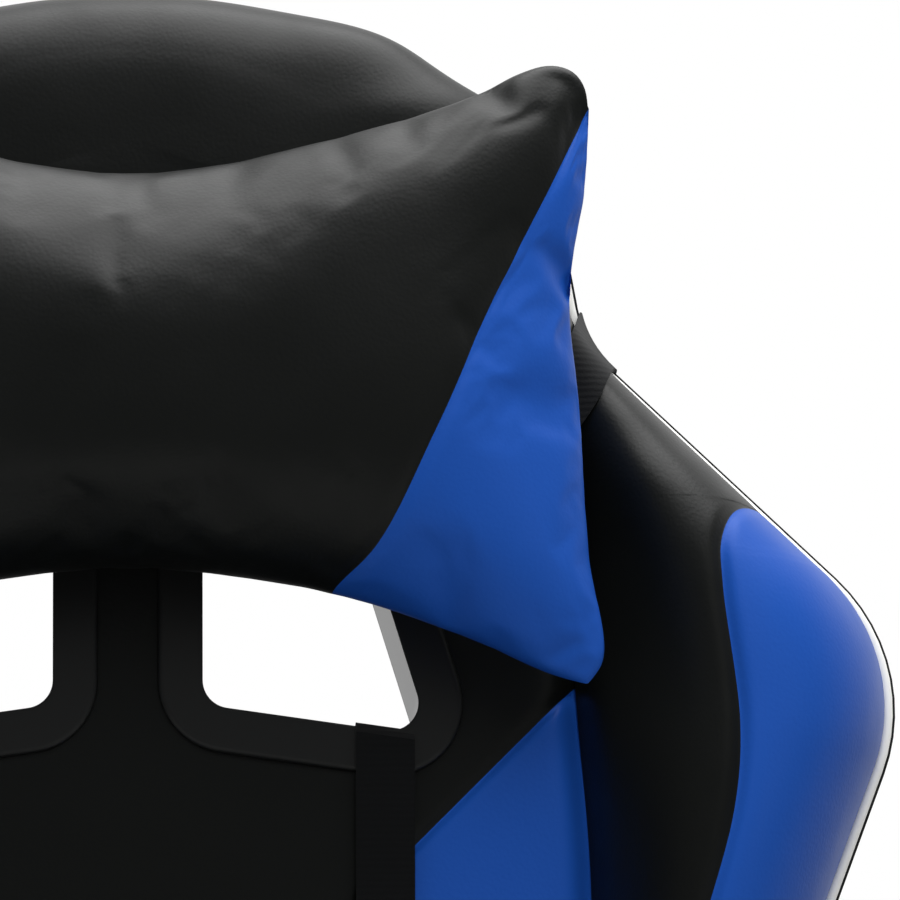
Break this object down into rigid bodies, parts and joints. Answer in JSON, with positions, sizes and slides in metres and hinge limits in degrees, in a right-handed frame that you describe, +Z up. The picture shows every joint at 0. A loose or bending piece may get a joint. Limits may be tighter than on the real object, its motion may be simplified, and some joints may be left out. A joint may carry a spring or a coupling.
{
  "type": "gaming chair",
  "caption": "Reclining gaming chair with winged backrest, harness windows, head and lumbar pillows, armrests, gas lift and caster base.",
  "frame": {"origin": "on the floor, on the swivel axis of the column", "axes": "+Z up; the sitter faces -Y; +X is the sitter's left"},
  "size_m": [0.668, 0.6625, 1.2222],
  "materials": {
    "black_leather": "satin",
    "rear_cover": "satin",
    "white_piping": "satin",
    "black_webbing": "matte",
    "satin_black_plastic": "satin",
    "nylon_base": "satin",
    "caster_nylon": "satin",
    "soft_arm_pad": "matte",
    "black_painted_steel": "satin",
    "bright_steel": "satin",
    "black_bolts": "satin",
    "guide_bush": "matte"
  },
  "bodies": {
    "base": {"star_base": "nylon_base", "column_tube": "black_painted_steel", "column_bush": "guide_bush", "thrust_bearing": "bright_steel", "caster_stems": "bright_steel"},
    "swivel_rod": {"piston_rod": "bright_steel"},
    "cover_mid": {"column_cover_middle": "satin_black_plastic"},
    "lift": {"gas_cylinder": "bright_steel", "tilt_housing": "black_painted_steel", "column_cover_upper": "satin_black_plastic", "tilt_spring": "bright_steel"},
    "seat": {"tilt_plate": "black_painted_steel", "tilt_pin": "bright_steel", "seat_frame": "black_painted_steel", "seat_webbing": "black_webbing", "seat_cushion": "black_leather", "seat_bolster_left": "black_leather", "seat_bolster_right": "black_leather", "arm_bracket_left": "black_painted_steel", "arm_bracket_right": "black_painted_steel", "hinge_plate_left": "black_painted_steel", "hinge_plate_right": "black_painted_steel", "hinge_cover_left": "satin_black_plastic", "hinge_cover_right": "satin_black_plastic", "seat_bolts": "black_bolts"},
    "knob": {"tension_knob": "satin_black_plastic"},
    "lever_barrel": {"lever_pivot": "black_painted_steel"},
    "height_lever": {"lever_rod": "black_painted_steel", "lever_paddle": "satin_black_plastic"},
    "back": {"back_frame": "black_painted_steel", "back_pad": "black_leather", "wing_left": "black_leather", "wing_right": "black_leather", "back_shell": "rear_cover", "back_piping": "white_piping", "bezel_left": "satin_black_plastic", "bezel_right": "satin_black_plastic", "back_brackets": "black_painted_steel", "head_pillow": "black_leather", "head_strap": "black_webbing", "lumbar_straps": "black_webbing", "back_bolts": "black_bolts"},
    "lumbar": {"lumbar_pillow": "black_leather"},
    "recliner": {"recline_lever": "satin_black_plastic"},
    "arm_left": {"arm_sleeve_left": "satin_black_plastic", "arm_pad_left": "soft_arm_pad"},
    "arm_right": {"arm_sleeve_right": "satin_black_plastic", "arm_pad_right": "soft_arm_pad"},
    "button_left": {"arm_button_left": "satin_black_plastic"},
    "button_right": {"arm_button_right": "satin_black_plastic"},
    "caster_1": {"caster_hood_1": "nylon_base"},
    "wheels_1": {"caster_wheels_1": "caster_nylon"},
    "caster_2": {"caster_hood_2": "nylon_base"},
    "wheels_2": {"caster_wheels_2": "caster_nylon"},
    "caster_3": {"caster_hood_3": "nylon_base"},
    "wheels_3": {"caster_wheels_3": "caster_nylon"},
    "caster_4": {"caster_hood_4": "nylon_base"},
    "wheels_4": {"caster_wheels_4": "caster_nylon"},
    "caster_5": {"caster_hood_5": "nylon_base"},
    "wheels_5": {"caster_wheels_5": "caster_nylon"}
  },
  "joints": [
    {"name": "swivel", "type": "hinge", "parent": "base", "child": "swivel_rod", "pos_m": [0, 0, 0.07], "axis": [0, 0, 1], "continuous": true},
    {"name": "seat_height", "type": "slide", "parent": "swivel_rod", "child": "lift", "axis": [0, 0, 1], "range_m": [0, 0.1]},
    {"name": "cover_slide", "type": "slide", "parent": "base", "child": "cover_mid", "axis": [0, 0, 1], "range_m": [0, 0.05]},
    {"name": "seat_tilt", "type": "hinge", "parent": "lift", "child": "seat", "pos_m": [0, 0.035, 0.331], "axis": [-1, 0, 0], "range_deg": [0, 12], "stiffness_Nm_per_rad": 150, "springref_deg": -14.32, "deforming": ["tilt_spring"]},
    {"name": "tension_turn", "type": "hinge", "parent": "seat", "child": "knob", "pos_m": [0, -0.085, 0.3], "axis": [0, 0, 1], "range_deg": [-540, 540]},
    {"name": "lever_lift", "type": "hinge", "parent": "lift", "child": "lever_barrel", "pos_m": [-0.052, 0, 0.3335], "axis": [0, 1, 0], "range_deg": [0, 4.5], "stiffness_Nm_per_rad": 2, "springref_deg": -8.59},
    {"name": "lever_pull", "type": "slide", "parent": "lever_barrel", "child": "height_lever", "axis": [-0.9877, 0, -0.1564], "range_m": [0, 0.012]},
    {"name": "recline", "type": "hinge", "parent": "seat", "child": "back", "pos_m": [0, 0.205, 0.43], "axis": [-1, 0, 0], "range_deg": [-6, 52]},
    {"name": "lumbar_slide", "type": "slide", "parent": "back", "child": "lumbar", "axis": [0, 0.1392, 0.9903], "range_m": [-0.03, 0.05]},
    {"name": "recline_handle", "type": "hinge", "parent": "seat", "child": "recliner", "pos_m": [-0.23, 0.205, 0.43], "axis": [-1, 0, 0], "range_deg": [0, 28], "stiffness_Nm_per_rad": 2, "springref_deg": -11.46},
    {"name": "arm_height_left", "type": "slide", "parent": "seat", "child": "arm_left", "axis": [0, 0, 1], "range_m": [0, 0.07]},
    {"name": "arm_button_press_left", "type": "slide", "parent": "arm_left", "child": "button_left", "axis": [-1, 0, 0], "range_m": [0, 0.003], "stiffness_N_per_m": 300, "springref_m": -0.002},
    {"name": "arm_height_right", "type": "slide", "parent": "seat", "child": "arm_right", "axis": [0, 0, 1], "range_m": [0, 0.07]},
    {"name": "arm_button_press_right", "type": "slide", "parent": "arm_right", "child": "button_right", "axis": [1, 0, 0], "range_m": [0, 0.003], "stiffness_N_per_m": 300, "springref_m": -0.002},
    {"name": "caster_swivel_1", "type": "hinge", "parent": "base", "child": "caster_1", "pos_m": [0, -0.29, 0.05], "axis": [0, 0, 1], "continuous": true},
    {"name": "caster_roll_1", "type": "hinge", "parent": "caster_1", "child": "wheels_1", "pos_m": [0.02, -0.29, 0.025], "axis": [0, 1, 0], "continuous": true},
    {"name": "caster_swivel_2", "type": "hinge", "parent": "base", "child": "caster_2", "pos_m": [0.27581, -0.08962, 0.05], "axis": [0, 0, 1], "continuous": true},
    {"name": "caster_roll_2", "type": "hinge", "parent": "caster_2", "child": "wheels_2", "pos_m": [0.28199, -0.07059, 0.025], "axis": [-0.9511, 0.309, 0], "continuous": true},
    {"name": "caster_swivel_3", "type": "hinge", "parent": "base", "child": "caster_3", "pos_m": [0.17046, 0.23461, 0.05], "axis": [0, 0, 1], "continuous": true},
    {"name": "caster_roll_3", "type": "hinge", "parent": "caster_3", "child": "wheels_3", "pos_m": [0.15428, 0.24637, 0.025], "axis": [-0.5878, -0.809, 0], "continuous": true},
    {"name": "caster_swivel_4", "type": "hinge", "parent": "base", "child": "caster_4", "pos_m": [-0.17046, 0.23461, 0.05], "axis": [0, 0, 1], "continuous": true},
    {"name": "caster_roll_4", "type": "hinge", "parent": "caster_4", "child": "wheels_4", "pos_m": [-0.18664, 0.22286, 0.025], "axis": [0.5878, -0.809, 0], "continuous": true},
    {"name": "caster_swivel_5", "type": "hinge", "parent": "base", "child": "caster_5", "pos_m": [-0.27581, -0.08962, 0.05], "axis": [0, 0, 1], "continuous": true},
    {"name": "caster_roll_5", "type": "hinge", "parent": "caster_5", "child": "wheels_5", "pos_m": [-0.26963, -0.10864, 0.025], "axis": [0.9511, 0.309, 0], "continuous": true}
  ],
  "couplings": [
    {"joint": "cover_slide", "follows": "seat_height", "ratio": 0.5}
  ]
}
